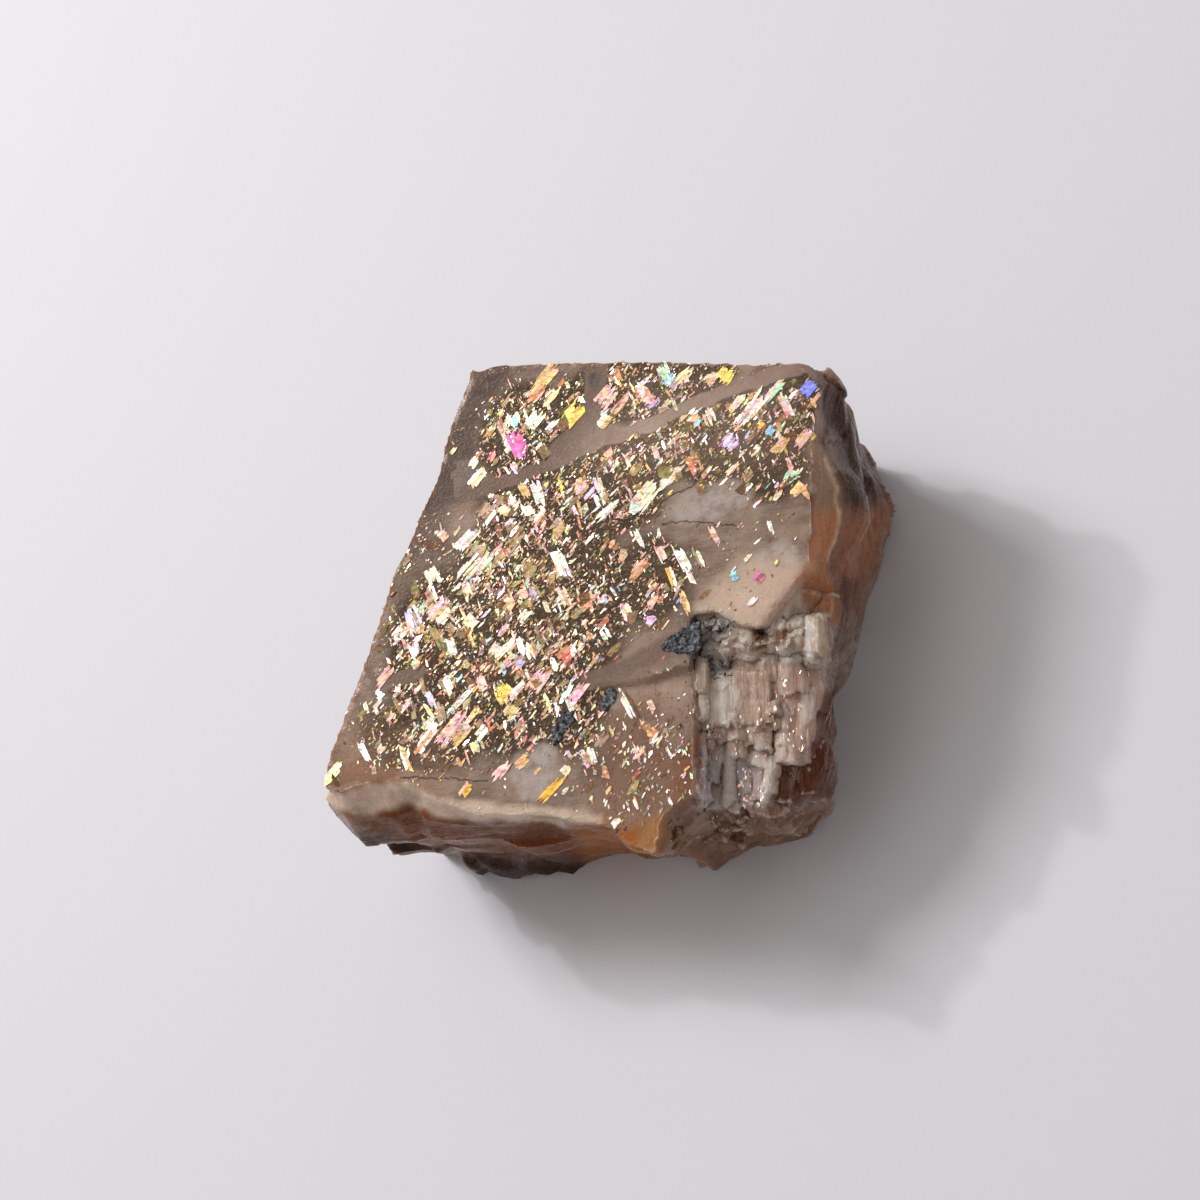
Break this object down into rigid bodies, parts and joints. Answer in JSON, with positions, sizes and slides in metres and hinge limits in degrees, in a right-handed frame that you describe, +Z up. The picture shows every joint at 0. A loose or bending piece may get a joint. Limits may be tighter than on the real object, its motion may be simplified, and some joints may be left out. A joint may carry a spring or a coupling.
{
  "type": "rainbow lattice sunstone specimen",
  "caption": "Cleaved lump of rainbow lattice sunstone with one smooth glittering face, broken stepped sides and a ledged corner, lying on its flat back.",
  "frame": {"origin": "middle of the box round the resting stone, at the floor", "axes": "+Z up out of the broad back, +X along the far edge of the glittering face, +Y from the near chipped edge to the far edge"},
  "size_m": [0.0326, 0.0304, 0.0166],
  "materials": {
    "feldspar": "satin",
    "lattice_flakes": "polished",
    "magnetite": "satin"
  },
  "bodies": {
    "root": {"sunstone": "feldspar"}
  },
  "joints": []
}
